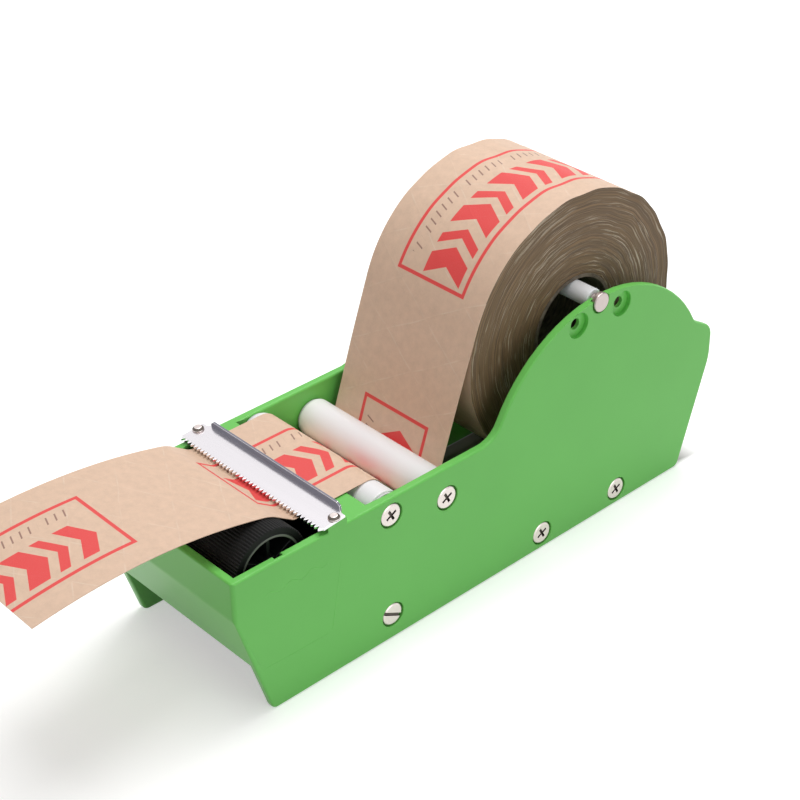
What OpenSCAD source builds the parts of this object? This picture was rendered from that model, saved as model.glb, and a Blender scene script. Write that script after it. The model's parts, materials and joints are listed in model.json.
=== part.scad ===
// Gummed tape dispenser for a shop counter.
// Y runs from the tape outlet at the front to the back, Z is up and X runs along the rollers.
// Depths are measured from the outside of the front wall and heights from the counter.

/* [Body] */
// Outside width of the body
body_w = 102; // [94:1:120]
// Thickness of the side walls and the front wall
wall_t = 4.5; // [3.5:0.1:5]
// Depth of the body from the front wall to the back
body_len = 316.5; // [290:0.5:350]
// Height of the straight top edge
deck_h = 80.7; // [74:0.1:88]
// Height at which the front edge starts to lean back
kink_h = 60; // [50:1:66]
// Lean of the lower front edge from upright
toe_lean = 16.5; // [10:0.5:20]
// Height of the lower edge of the front wall
front_gap = 28.5; // [24:0.5:32]
// Radius of the tip of each foot
toe_r = 3.5; // [2:0.5:5]

/* [Roll cheeks] */
// Radius of the big arc that carries the roll
cheek_r = 79.3; // [76:0.1:82]
// Distance from the middle of that arc to the back edge
cheek_back = 85; // [82:0.5:88]
// Height of the middle of that arc
cheek_h = 51; // [47:0.5:56]
// Radius of the hollow curve that leads up from the top edge
sweep_r = 14; // [8:1:20]
// Slope of the shoulder behind the arc
shoulder_slope = 31; // [25:1:36]
// Height at which the sloping shoulder would meet the back edge
shoulder_h = 78.5; // [76:0.5:80]
// Radius of the hollow curve above the shoulder
shoulder_r = 8; // [4:1:12]
// Radius of the upper back corner
back_corner_r = 9; // [5:1:11]
// Height at which the back edge starts to lean in
back_kink_h = 60; // [50:1:62]
// Lean of the lower back edge from upright
back_lean = 18.4; // [10:0.2:22]
// Radius of the bend in the back edge
back_kink_r = 30; // [10:1:40]
// Radius of the lower back corner
heel_r = 4; // [2:0.5:6]

/* [Guide bridge and blade seats] */
// Distance from the tips of the blade's teeth to the front edge of the bridge
bridge_lag = 12.5; // [11:0.5:14]
// Depth of the bridge from its front edge to its rear edge
bridge_depth = 18.5; // [16:0.5:20]
// Thickness of the bridge
bridge_t = 3.2; // [2.5:0.1:4]
// Distance from the wheel to the tips of the blade's teeth
blade_lag = 2; // [1.5:0.1:4]
// Depth of the blade from its teeth to its fold
blade_depth = 16.8; // [15:0.1:19]
// Slope of the blade down towards its teeth
blade_tilt = 5; // [3:0.5:6]
// Length of each blade seat along the top edge
seat_len = 11; // [9:0.5:12]
// Height of the seats over the top edge, at the screws
seat_h = 3; // [2.8:0.1:4]

/* [Blade] */
// Thickness of the blade's steel
blade_t = 1.2; // [1:0.1:1.5]
// Height of the fold along the back of the blade
fold_h = 3; // [2:0.2:4]
// Distance from one tooth to the next
tooth_pitch = 2.4; // [2:0.1:3]
// Depth of the teeth
tooth_depth = 2; // [1.5:0.1:2.5]
// Diameter of the blade screw heads
blade_head_d = 5.8; // [5:0.1:6.5]
// Diameter of the blade screws
blade_screw_d = 3; // [2.5:0.1:3.2]

/* [Guide rollers] */
// Diameter of both guide rollers
roller_d = 20; // [18:0.1:22]
// Bore of both roller tubes
roller_bore = 15.6; // [14:0.1:16]
// Distance from the bridge to the front roller
roller_lag = 0.9; // [0.5:0.1:3]
// Height of the front roller's top over the top edge
front_roller_rise = 0.3; // [0:0.1:0.8]
// Distance from the front roller's shaft to the rear one
roller_pitch = 35; // [32:0.5:40]
// Distance of the rear roller's top below the top edge
rear_roller_drop = 7.3; // [4:0.1:10]
// Diameter of the roller shafts
shaft_d = 8; // [7.6:0.1:9]

/* [Wetting wheel and water tank] */
// Diameter of the wetting wheel over its ribs
wheel_d = 40; // [36:0.2:44]
// Distance from the tank's front to the wheel
wheel_front_gap = 1; // [0.6:0.1:2]
// Distance from the tank's sides to the wheel
wheel_side_gap = 1.7; // [1:0.1:4]
// Height of the wheel's top over the top edge
wheel_rise = 10.3; // [9:0.1:12]
// Thickness of the tread over its ribs
tread_t = 3.3; // [2:0.1:4]
// Wall of the hub
hub_wall = 1.8; // [1.5:0.1:2.5]
// Number of spokes at each end
spokes = 6; // [4:1:8]
// Number of ribs round the tread
ribs = 80; // [60:1:90]
// Height of the ribs
rib_h = 0.7; // [0.4:0.1:1]
// Diameter of the wheel's axle
axle_d = 4.4; // [4:0.1:4.6]
// Depth of the axle slots in the side walls
slot_depth = 2.3; // [1.5:0.1:2.8]
// Height of the tank's floor, outside
tank_floor_h = 25; // [23:0.5:27]
// Distance of the tank's rim below the top edge
tank_rim_drop = 3.7; // [3.4:0.1:6]
// Distance from the tank to the bridge
tank_back_gap = 2; // [1:0.5:6]
// Thickness of the tank
tank_t = 1.6; // [1.2:0.1:1.8]

/* [Tie rods and screws] */
// Diameter of the tie rods between the side walls
tie_d = 10; // [8:0.5:12]
// Distance of the front tie rod ahead of the front roller's shaft
front_tie_lead = 0.3; // [0:0.1:4]
// Height of the front tie rod
front_tie_h = 13.7; // [12:0.1:16]
// Distance of the middle tie rod ahead of the spindle
middle_tie_lead = 35.8; // [30:0.1:40]
// Distance of the rear tie rod behind the spindle
rear_tie_lag = 19.5; // [15:0.1:25]
// Height of the two rear tie rods
rear_tie_h = 8.9; // [8.8:0.1:12]
// Diameter of the screw heads
head_d = 11.8; // [10:0.1:12]
// Gap round each screw head in its recess
recess_gap = 0.7; // [0.4:0.1:1]
// Depth of the round recesses
recess_depth = 2.4; // [2:0.1:2.6]
// Diameter of the screw shanks
screw_d = 5; // [4.5:0.1:5.2]
// Gap round each screw shank in its hole
hole_gap = 0.3; // [0.1:0.1:0.5]
// Distance between the two spare holes beside the spindle
spare_pitch = 30.4; // [26:0.2:34]
// Distance of the spare holes below the spindle
spare_drop = 6.8; // [5:0.1:9]

/* [Spindle and roll] */
// Distance of the spindle ahead of the middle of the cheek's arc
spindle_lead = 3.5; // [0:0.5:6]
// Distance of the spindle below the top of the cheek's arc
spindle_drop = 2.6; // [1:0.1:5]
// Diameter of the steel pin
pin_d = 5.5; // [5:0.1:6]
// Diameter of the heads at the ends of the pin
pin_head_d = 10; // [9:0.1:11]
// Thickness of those heads
pin_head_t = 2.8; // [2.4:0.1:3]
// Diameter of the white sleeve that the roll hangs on
sleeve_d = 10; // [9:0.1:11]
// Width of the tape
tape_w = 76; // [70:1:80]
// Distance from the left wall to the tape
tape_left_gap = 4.5; // [3:0.5:6]
// Outside diameter of the roll
roll_d = 141; // [120:1:142]
// Bore of the roll's paper core
core_bore = 49.6; // [46:0.2:52]
// Thickness of the paper core
core_t = 2; // [1.5:0.1:3]

/* [Tape path] */
// Thickness of the tape
tape_t = 0.3; // [0.2:0.05:0.4]
// Radius of the bend under the blade's teeth
bend_r = 4; // [3:0.5:6]
// Slope at which the tape leaves the wheel
leave_slope = 15; // [12:1:18]
// Distance from the wheel to the crest of the free end
crest_reach = 77; // [60:1:90]
// Reach of the free end in front of the body
strip_reach = 86.5; // [60:0.5:100]

/* [Hidden] */
$fn = 64;

// Clearances
fit_gap = 0.02;      // between a pressed or screwed pair
running_gap = 0.05;  // between a shaft and what turns on it
tape_gap = 0.3;      // between the tape and what it runs over
side_gap = 0.3;      // between a turning piece and a side wall
notch_gap = 0.2;     // round the pin in its notch
hang_gap = 0.2;      // between the roll's core and the sleeve that it hangs on
slot_gap = 0.1;      // round the axle in its slots
head_gap = 0.8;      // round a pin head in its recess
tank_gap = 0.4;      // between the tank and the walls

// Derived sizes
in_x = body_w / 2 - wall_t;                    // inside face of each side wall
inner_w = 2 * in_x;
wheel_w = inner_w - 2 * (tank_gap + tank_t + wheel_side_gap);
wheel_y = wall_t + tank_gap + tank_t + wheel_front_gap + wheel_d / 2;
wheel_h = deck_h + wheel_rise - wheel_d / 2;
hub_d = wheel_d - 2 * tread_t;
blade_front = wheel_y + wheel_d / 2 + blade_lag;
blade_back = blade_front + blade_depth;
bridge_front = blade_front + bridge_lag;
bridge_back = bridge_front + bridge_depth;
tank_top_h = deck_h - tank_rim_drop;
tank_back = bridge_front - tank_back_gap;
front_roller_y = bridge_back + roller_lag + roller_d / 2;
front_roller_h = deck_h + front_roller_rise - roller_d / 2;
rear_roller_y = front_roller_y + roller_pitch;
rear_roller_h = deck_h - rear_roller_drop - roller_d / 2;
cheek_y = body_len - cheek_back;
spindle_y = cheek_y - spindle_lead;
spindle_h = cheek_h + cheek_r - spindle_drop;
front_tie_y = front_roller_y - front_tie_lead;
middle_tie_y = spindle_y - middle_tie_lead;
rear_tie_y = spindle_y + rear_tie_lag;
recess_d = head_d + 2 * recess_gap;
screw_hole_d = screw_d + 2 * hole_gap;
mid_y = (body_len - strip_reach) / 2;          // middle of the whole length, tape included
tape_x = -in_x + tape_left_gap;                // left edge of the tape
shaft_pocket = 14;                             // depth of the tapped ends
screw_len = wall_t - recess_depth + 12;        // shank under the head
head_h = recess_depth - 0.2;
ledge_w = 2.5;                                 // tank ledges on the side walls
ledge_t = 3;
bush_flange = 1.2;
bush_len = 8;
core_r = core_bore / 2;
roll_r = roll_d / 2;
roll_h = spindle_h + sleeve_d / 2 + hang_gap - core_r; // the roll hangs from the sleeve
arc_step = 5;                                  // degrees between the points of an arc

// Points of an arc round c, from angle a0 to angle a1
function arc(c, r, a0, a1) =
    let(n = max(2, ceil(abs(a1 - a0) / arc_step)))
    [for (i = [0:n]) c + r * dir(a0 + (a1 - a0) * i / n)];
function dir(a) = [cos(a), sin(a)];
function heading(v) = atan2(v[1], v[0]);

// Points of a rounded corner at p between the directions a (coming in) and b (going out), turning left
function corner(p, r, a, b) =
    let(half = (b - a) / 2, c = p + r / cos(half) * dir(a + half + 90))
    arc(c, r, a - 90, b - 90);

// Angle of the line that touches two circles and crosses between them, seen from the first centre
function cross_angle(c1, r1, c2, r2, side) =
    heading(c2 - c1) + side * acos((r1 + r2) / norm(c2 - c1));

// Points along a path, set off to its left by d
function offset_path(p, d) =
    let(last = len(p) - 1)
    [for (i = [0:last])
        let(v = p[min(i + 1, last)] - p[max(i - 1, 0)])
        p[i] + d * [-v[1], v[0]] / norm(v)];
function reversed(p) = [for (i = [len(p) - 1:-1:0]) p[i]];

// Places a side view, drawn as depth and height, between x0 and x1
module side_view(x0, x1) {
    translate([x0, -mid_y, 0]) rotate([90, 0, 90]) linear_extrude(x1 - x0) children();
}
// Places a turned piece, drawn round Z, along X from x0 at the depth y and the height h
module across(x0, y, h) {
    translate([x0, y - mid_y, h]) rotate([0, 90, 0]) children();
}
// Both ends of the body, the second one mirrored
module both_ends() {
    children();
    mirror([1, 0, 0]) children();
}

// Outline of a side wall
cheek = [cheek_y, cheek_h];
sweep = [cheek_y - sqrt(pow(cheek_r + sweep_r, 2) - pow(deck_h + sweep_r - cheek_h, 2)), deck_h + sweep_r];
sweep_touch = heading(sweep - cheek);          // where the hollow curve meets the big arc
shoulder_end = [body_len, shoulder_h];
shoulder_normal = dir(90 - shoulder_slope);
shoulder_turn = asin((shoulder_r + (shoulder_end - cheek) * shoulder_normal) / (cheek_r + shoulder_r))
    - shoulder_slope;
shoulder = cheek + (cheek_r + shoulder_r) * dir(shoulder_turn);
toe = [kink_h * tan(toe_lean), 0];
heel = [body_len - back_kink_h * tan(back_lean), 0];
back_kink = [body_len, back_kink_h];
side_outline = concat(
    corner(heel, heel_r, 0, 90 - back_lean),
    corner(back_kink, back_kink_r, 90 - back_lean, 90),
    corner(shoulder_end, back_corner_r, 90, 180 - shoulder_slope),
    arc(shoulder, shoulder_r, -90 - shoulder_slope, -180 + shoulder_turn),
    arc(cheek, cheek_r, shoulder_turn, sweep_touch),
    arc(sweep, sweep_r, sweep_touch - 180, -90),
    [[0, deck_h], [0, kink_h]],
    corner(toe, toe_r, toe_lean - 90, 0)
);

// Front wall and tank follow the front edge of the side walls at the distance d
function front_y(h, d) = d / cos(h < kink_h ? toe_lean : 0) + max(0, kink_h - h) * tan(toe_lean);
function front_line(d, h0, h1) =
    let(bend = kink_h - d * tan(toe_lean / 2))
    [[front_y(h0, d), h0], [d, bend], [d, h1]];
front_wall_outline = concat(
    front_line(0, front_gap, deck_h),
    reversed(front_line(wall_t, front_gap, deck_h))
);

// Height of the blade's underside at the depth y
screw_lag = 10;                                // from the teeth to the blade screws
seat_y = blade_front + screw_lag;
function blade_under(y) = deck_h + seat_h + (y - seat_y) * tan(blade_tilt);
blade_screw_x = in_x + wall_t / 2;
blade_screw_len = 12;
// Places a piece on the seat at the blade screw, square to the blade
module at_blade_screw() {
    translate([blade_screw_x, seat_y - mid_y, blade_under(seat_y)]) rotate([blade_tilt, 0, 0]) children();
}

// Screw, head and cross or slot, with the head's underside at the origin and the shank towards -Z
module screw(slotted) {
    edge_h = 0.5;                              // bevelled edge of the head
    edge_w = 0.8;
    slot_turn = 62;
    cross_turn = 28;
    difference() {
        union() {
            cylinder(d = head_d, h = head_h - edge_h);
            translate([0, 0, head_h - edge_h]) cylinder(d1 = head_d, d2 = head_d - 2 * edge_w, h = edge_h);
            translate([0, 0, -screw_len]) cylinder(d = screw_d, h = screw_len);
        }
        translate([0, 0, head_h]) {
            if (slotted) rotate(slot_turn) cube([head_d + 1, 1.6, 2.4], center = true);
            else for (a = [0, 90]) rotate(cross_turn + a) cube([6.4, 1.3, 2.8], center = true);
        }
    }
}
// The screws at both ends of a rod at the depth y and the height h
module rod_screws(y, h, slotted = false) {
    both_ends() translate([body_w / 2 - recess_depth, y - mid_y, h]) rotate([0, 90, 0]) screw(slotted);
}
// Rod between the side walls with a tapped pocket in each end
module rod(d, y, h) {
    difference() {
        across(-in_x, y, h) cylinder(d = d, h = inner_w);
        across(-in_x - 1, y, h) cylinder(d = screw_d + 2 * fit_gap, h = shaft_pocket + 1);
        across(in_x - shaft_pocket, y, h) cylinder(d = screw_d + 2 * fit_gap, h = shaft_pocket + 1);
    }
}
// Hole and round recess for a screw through the wall on the +X side
module screw_seat(y, h) {
    across(in_x - 1, y, h) cylinder(d = screw_hole_d, h = wall_t + 2);
    across(body_w / 2 - recess_depth, y, h) cylinder(d = recess_d, h = recess_depth + 1);
}

// Side wall on the +X side
module side_wall() {
    difference() {
        union() {
            side_view(in_x, body_w / 2) polygon(side_outline);
            side_view(in_x, body_w / 2) polygon([
                [seat_y - seat_len / 2, deck_h - 1],
                [seat_y + seat_len / 2, deck_h - 1],
                [seat_y + seat_len / 2, blade_under(seat_y + seat_len / 2)],
                [seat_y - seat_len / 2, blade_under(seat_y - seat_len / 2)]
            ]);
            side_view(in_x - ledge_w, in_x + 1) polygon([
                [front_y(tank_floor_h, wall_t), tank_floor_h - ledge_t],
                [tank_back - 4, tank_floor_h - ledge_t],
                [tank_back - 4, tank_floor_h],
                [front_y(tank_floor_h, wall_t), tank_floor_h]
            ]);
        }
        screw_seat(front_roller_y, front_roller_h);
        screw_seat(rear_roller_y, rear_roller_h);
        screw_seat(front_tie_y, front_tie_h);
        screw_seat(middle_tie_y, rear_tie_h);
        screw_seat(rear_tie_y, rear_tie_h);
        for (s = [-1, 1]) screw_seat(spindle_y + s * spare_pitch / 2, spindle_h - spare_drop);
        axle_slot();
        spindle_notch();
        at_blade_screw() translate([0, 0, -blade_screw_len - 1])
            cylinder(d = blade_screw_d + 2 * fit_gap, h = blade_screw_len + 4);
    }
}
// Blind slot for the end of the wheel's axle, open at the top
module axle_slot() {
    r = axle_d / 2 + slot_gap;
    across(in_x - 1, wheel_y, wheel_h) cylinder(r = r, h = slot_depth + 1);
    side_view(in_x - 1, in_x + slot_depth) polygon([
        [wheel_y - r, wheel_h], [wheel_y + r, wheel_h], [wheel_y + r, deck_h + 1], [wheel_y - r, deck_h + 1]
    ]);
}
// Notch for the pin and a wider recess for its head, both open at the top
module spindle_notch() {
    r = pin_d / 2 + notch_gap;
    across(in_x - 1, spindle_y, spindle_h) cylinder(r = r, h = wall_t + 2);
    side_view(in_x - 1, body_w / 2 + 1) polygon([
        [spindle_y - r, spindle_h], [spindle_y + r, spindle_h],
        [spindle_y + r, spindle_h + 20], [spindle_y - r, spindle_h + 20]
    ]);
    across(body_w / 2 - recess_depth, spindle_y, spindle_h)
        cylinder(d = pin_head_d + 2 * head_gap, h = recess_depth + 1);
}
module bridge() {
    lip = 1.5;
    side_view(-in_x - 1, in_x + 1) polygon(concat(
        [[bridge_front, deck_h - bridge_t]],
        [[bridge_back, deck_h - bridge_t], [bridge_back, deck_h - lip]],
        arc([bridge_back - lip, deck_h - lip], lip, 0, 90),
        arc([bridge_front + lip, deck_h - lip], lip, 90, 180)
    ));
}
module body_shell() color([0.42, 0.70, 0.36]) {
    union() {
        both_ends() side_wall();
        side_view(-in_x - 1, in_x + 1) polygon(front_wall_outline);
        bridge();
    }
}

// Open tank behind the front wall, notched for the axle
module water_tank() color([0.09, 0.09, 0.10]) {
    outside_x = in_x - tank_gap;
    notch_r = axle_d / 2 + 0.5;
    gap = wall_t + tank_gap;
    difference() {
        side_view(-outside_x, outside_x) polygon(concat(
            reversed(front_line(gap, tank_floor_h, tank_top_h)),
            [[tank_back, tank_floor_h], [tank_back, tank_top_h]]
        ));
        side_view(-outside_x + tank_t, outside_x - tank_t) polygon(concat(
            reversed(front_line(gap + tank_t, tank_floor_h + tank_t, tank_top_h + 1)),
            [[tank_back - tank_t, tank_floor_h + tank_t], [tank_back - tank_t, tank_top_h + 1]]
        ));
        across(-in_x, wheel_y, wheel_h) cylinder(r = notch_r, h = inner_w);
        side_view(-in_x, in_x) polygon([
            [wheel_y - notch_r, wheel_h], [wheel_y + notch_r, wheel_h],
            [wheel_y + notch_r, deck_h], [wheel_y - notch_r, deck_h]
        ]);
    }
}

// Wetting wheel: spoked hub with a ribbed tread, on a steel axle
module wheel_hub() color([0.10, 0.10, 0.11]) {
    boss_d = 11;
    spoke_t = 2;
    spoke_w = 14;
    spoke_inset = 1;
    web_t = 2;
    difference() {
        union() {
            across(-wheel_w / 2, wheel_y, wheel_h) difference() {
                cylinder(d = hub_d, h = wheel_w);
                translate([0, 0, -1]) cylinder(d = hub_d - 2 * hub_wall, h = wheel_w + 2);
            }
            across(-wheel_w / 2, wheel_y, wheel_h) cylinder(d = boss_d, h = wheel_w);
            across(-web_t / 2, wheel_y, wheel_h) cylinder(d = hub_d - hub_wall, h = web_t);
            for (x = [spoke_inset - wheel_w / 2, wheel_w / 2 - spoke_inset - spoke_w], i = [0:spokes - 1])
                across(x, wheel_y, wheel_h) rotate(i * 360 / spokes)
                    translate([boss_d / 4, -spoke_t / 2, 0])
                        cube([hub_d / 2 - hub_wall / 2 - boss_d / 4, spoke_t, spoke_w]);
        }
        across(-wheel_w / 2 - 1, wheel_y, wheel_h) cylinder(d = axle_d + 2 * running_gap, h = wheel_w + 2);
    }
}
module wheel_tread() color([0.06, 0.06, 0.07]) {
    outer_r = wheel_d / 2;
    pitch = 360 / ribs;
    across(-wheel_w / 2, wheel_y, wheel_h) linear_extrude(wheel_w) difference() {
        polygon([for (i = [0:ribs - 1], s = [[-0.5, 0], [-0.15, 1], [0.15, 1]])
            (outer_r - rib_h * (1 - s[1])) * dir((i + s[0]) * pitch)]);
        circle(d = hub_d + 2 * fit_gap);
    }
}
module wheel_axle() color([0.75, 0.76, 0.78]) {
    reach = in_x + slot_depth - side_gap;
    across(-reach, wheel_y, wheel_h) cylinder(d = axle_d, h = 2 * reach);
}

// Toothed blade with a folded back edge, screwed down on its two seats
module cutter_blade() color([0.88, 0.88, 0.90]) {
    blade_l = body_w;
    fold_l = inner_w - 1;
    fold_cut = [1.8, 1.4];                     // cut corners of the fold, along and up
    length = (blade_back - blade_front) / cos(blade_tilt);
    teeth = floor(blade_l / tooth_pitch);
    first = -teeth * tooth_pitch / 2;
    ear = 2.2;
    hole_y = (seat_y - blade_front) / cos(blade_tilt);
    translate([0, blade_front - mid_y, blade_under(blade_front)]) rotate([blade_tilt, 0, 0]) {
        difference() {
            linear_extrude(blade_t) difference() {
                polygon(concat(
                    [for (i = [0:teeth - 1], s = [0, 1])
                        [first + (i + s / 2) * tooth_pitch, s * -tooth_depth + tooth_depth]],
                    [[first + teeth * tooth_pitch, tooth_depth], [blade_l / 2, tooth_depth]],
                    [[blade_l / 2, length - ear], [fold_l / 2 + ear, length - ear], [fold_l / 2, length]],
                    [[-fold_l / 2, length], [-fold_l / 2 - ear, length - ear], [-blade_l / 2, length - ear]],
                    [[-blade_l / 2, tooth_depth]]
                ));
            }
            for (s = [-1, 1]) translate([s * blade_screw_x, hole_y, -1])
                cylinder(d = blade_screw_d + 0.4, h = blade_t + 2);
        }
        translate([0, length, 0]) rotate([90, 0, 0]) linear_extrude(blade_t) polygon([
            [-fold_l / 2, 0], [fold_l / 2, 0], [fold_l / 2, blade_t + fold_h - fold_cut[1]],
            [fold_l / 2 - fold_cut[0], blade_t + fold_h], [-fold_l / 2 + fold_cut[0], blade_t + fold_h],
            [-fold_l / 2, blade_t + fold_h - fold_cut[1]]
        ]);
    }
}
module blade_screws() color([0.80, 0.80, 0.82]) {
    edge_h = 0.6;                              // upright edge of the head, under its dome
    dome_h = 1.2;
    dome_w = 1.2;
    both_ends() at_blade_screw() {
        translate([0, 0, -blade_screw_len])
            cylinder(d = blade_screw_d, h = blade_screw_len + blade_t + edge_h);
        translate([0, 0, blade_t]) cylinder(d = blade_head_d, h = edge_h);
        translate([0, 0, blade_t + edge_h])
            cylinder(d1 = blade_head_d, d2 = blade_head_d - 2 * dome_w, h = dome_h);
    }
}

// Guide roller: plastic tube, an end bush on each side and a steel shaft
roller_len = inner_w - 2 * (bush_flange + side_gap);
module roller_tube(y, h) {
    across(-roller_len / 2, y, h) difference() {
        cylinder(d = roller_d, h = roller_len);
        translate([0, 0, -1]) cylinder(d = roller_bore, h = roller_len + 2);
    }
}
module roller_bushes(y, h) {
    both_ends() across(roller_len / 2 - bush_len, y, h) difference() {
        union() {
            cylinder(d = roller_bore - 2 * fit_gap, h = bush_len);
            translate([0, 0, bush_len]) cylinder(d = roller_d - 1.6, h = bush_flange);
        }
        translate([0, 0, -1]) cylinder(d = shaft_d + 2 * running_gap, h = bush_len + bush_flange + 2);
    }
}
module front_roller() color([0.93, 0.93, 0.94]) roller_tube(front_roller_y, front_roller_h);
module front_roller_bushes() color([0.85, 0.86, 0.87]) roller_bushes(front_roller_y, front_roller_h);
module front_roller_shaft() color([0.70, 0.71, 0.73]) rod(shaft_d, front_roller_y, front_roller_h);
module rear_roller() color([0.93, 0.93, 0.94]) roller_tube(rear_roller_y, rear_roller_h);
module rear_roller_bushes() color([0.85, 0.86, 0.87]) roller_bushes(rear_roller_y, rear_roller_h);
module rear_roller_shaft() color([0.70, 0.71, 0.73]) rod(shaft_d, rear_roller_y, rear_roller_h);
module roller_screws() color([0.80, 0.78, 0.78]) {
    rod_screws(front_roller_y, front_roller_h);
    rod_screws(rear_roller_y, rear_roller_h);
}

// Tie rods that hold the side walls apart low down
module front_tie_rod() color([0.72, 0.73, 0.75]) rod(tie_d, front_tie_y, front_tie_h);
module middle_tie_rod() color([0.72, 0.73, 0.75]) rod(tie_d, middle_tie_y, rear_tie_h);
module rear_tie_rod() color([0.72, 0.73, 0.75]) rod(tie_d, rear_tie_y, rear_tie_h);
module front_tie_screws() color([0.80, 0.78, 0.78]) rod_screws(front_tie_y, front_tie_h, true);
module rear_tie_screws() color([0.80, 0.78, 0.78]) {
    rod_screws(middle_tie_y, rear_tie_h);
    rod_screws(rear_tie_y, rear_tie_h);
}

// Spindle: steel pin with a head pressed on each end, in the open notches
head_start = body_w / 2 - recess_depth + side_gap;
tenon_d = pin_d - 1.5;
module spindle_pin() color([0.78, 0.78, 0.80]) {
    across(-head_start, spindle_y, spindle_h) cylinder(d = pin_d, h = 2 * head_start);
    across(-head_start - pin_head_t + 1, spindle_y, spindle_h)
        cylinder(d = tenon_d, h = 2 * (head_start + pin_head_t - 1));
}
module spindle_heads() color([0.84, 0.80, 0.80]) {
    both_ends() across(head_start, spindle_y, spindle_h) difference() {
        union() {
            cylinder(d = pin_head_d, h = pin_head_t - 0.4);
            translate([0, 0, pin_head_t - 0.4]) cylinder(d1 = pin_head_d, d2 = pin_head_d - 0.8, h = 0.4);
        }
        translate([0, 0, -1]) cylinder(d = tenon_d + 2 * fit_gap, h = pin_head_t);
    }
}
module spindle_sleeve() color([0.94, 0.93, 0.96]) {
    length = inner_w - 2 * side_gap;
    across(-length / 2, spindle_y, spindle_h) difference() {
        cylinder(d = sleeve_d, h = length);
        translate([0, 0, -1]) cylinder(d = pin_d + 2 * running_gap, h = length + 2);
    }
}

// Roll of tape on its paper core
module roll_core() color([0.56, 0.50, 0.42]) {
    across(tape_x, spindle_y, roll_h) difference() {
        cylinder(r = core_r + core_t, h = tape_w);
        translate([0, 0, -1]) cylinder(r = core_r, h = tape_w + 2);
    }
}
// The wound layers stand proud of each other by turns on both faces
bands = 9;
band_step = 0.5;
wound_r = core_r + core_t + fit_gap;
function roll_face(base, side) =
    let(band = (roll_r - wound_r) / bands)
    [for (i = [0:bands - 1], e = [0, 1])
        [wound_r + (i + e) * band, base + side * band_step * (i % 2 == 0 ? 1 : i % 3 == 0 ? 0.5 : 0)]];
module tape_roll() color([0.52, 0.42, 0.33]) {
    across(tape_x, spindle_y, roll_h) rotate_extrude($fn = 128)
        polygon(concat(roll_face(0, 1), reversed(roll_face(tape_w, -1))));
}

// The tape's path in side view, from the roll to its free end
half_t = tape_t / 2;
reach_r = tape_gap + half_t;                   // from a roller's surface to the middle of the tape
roll_c = [spindle_y, roll_h];
rear_c = [rear_roller_y, rear_roller_h];
front_c = [front_roller_y, front_roller_h];
wheel_c = [wheel_y, wheel_h];
roller_path_r = roller_d / 2 + reach_r;
wheel_path_r = wheel_d / 2 + reach_r;
run_h = front_roller_h + roller_path_r;        // height of the level run under the blade
bend_c = [blade_front + 0.5, run_h + bend_r];
off_roll = cross_angle(roll_c, roll_r + reach_r, rear_c, roller_path_r, -1) + 360;
off_rear = cross_angle(rear_c, roller_path_r, front_c, roller_path_r, 1);
off_bend = cross_angle(bend_c, bend_r, wheel_c, wheel_path_r, 1) + 360;
strip_start = wheel_c + wheel_path_r * dir(90 - leave_slope);
rise = tan(leave_slope) / (2 * crest_reach);
strip_len = strip_start[0] + strip_reach;
strip_steps = 18;
tape_path = concat(
    [roll_c + (roll_r + reach_r) * dir(off_roll)],
    arc(rear_c, roller_path_r, off_roll + 180, off_rear),
    arc(front_c, roller_path_r, off_rear - 180, 90),
    arc(bend_c, bend_r, 270, off_bend),
    arc(wheel_c, wheel_path_r, off_bend - 180, 90 - leave_slope),
    [for (i = [1:strip_steps])
        let(s = strip_len * i / strip_steps)
        strip_start + [-s, s * tan(leave_slope) - rise * s * s]]
);
tape_faces = [offset_path(tape_path, half_t), offset_path(tape_path, -half_t)];
function stretch(p, first, last) = [for (i = [first:last]) p[i]];
// The tape between two points of its path
module tape(first, last) {
    side_view(tape_x, tape_x + tape_w) polygon(concat(
        stretch(tape_faces[0], first, last),
        reversed(stretch(tape_faces[1], first, last))
    ));
}
module tape_web() color([0.76, 0.62, 0.50]) tape(0, 1);
module tape_strip() color([0.88, 0.78, 0.70]) tape(1, len(tape_path) - 1);

body_shell();
water_tank();
wheel_hub();
wheel_tread();
wheel_axle();
cutter_blade();
blade_screws();
front_roller();
front_roller_bushes();
front_roller_shaft();
rear_roller();
rear_roller_bushes();
rear_roller_shaft();
roller_screws();
front_tie_rod();
middle_tie_rod();
rear_tie_rod();
front_tie_screws();
rear_tie_screws();
spindle_pin();
spindle_heads();
spindle_sleeve();
roll_core();
tape_roll();
tape_web();
tape_strip();
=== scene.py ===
"""Looks of a gummed tape dispenser: green moulded body, kraft tape roll, guide rollers, blade and
wetting wheel."""
import json
import math
import random

import bmesh
import bpy
from mathutils import Matrix, Vector, noise

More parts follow.
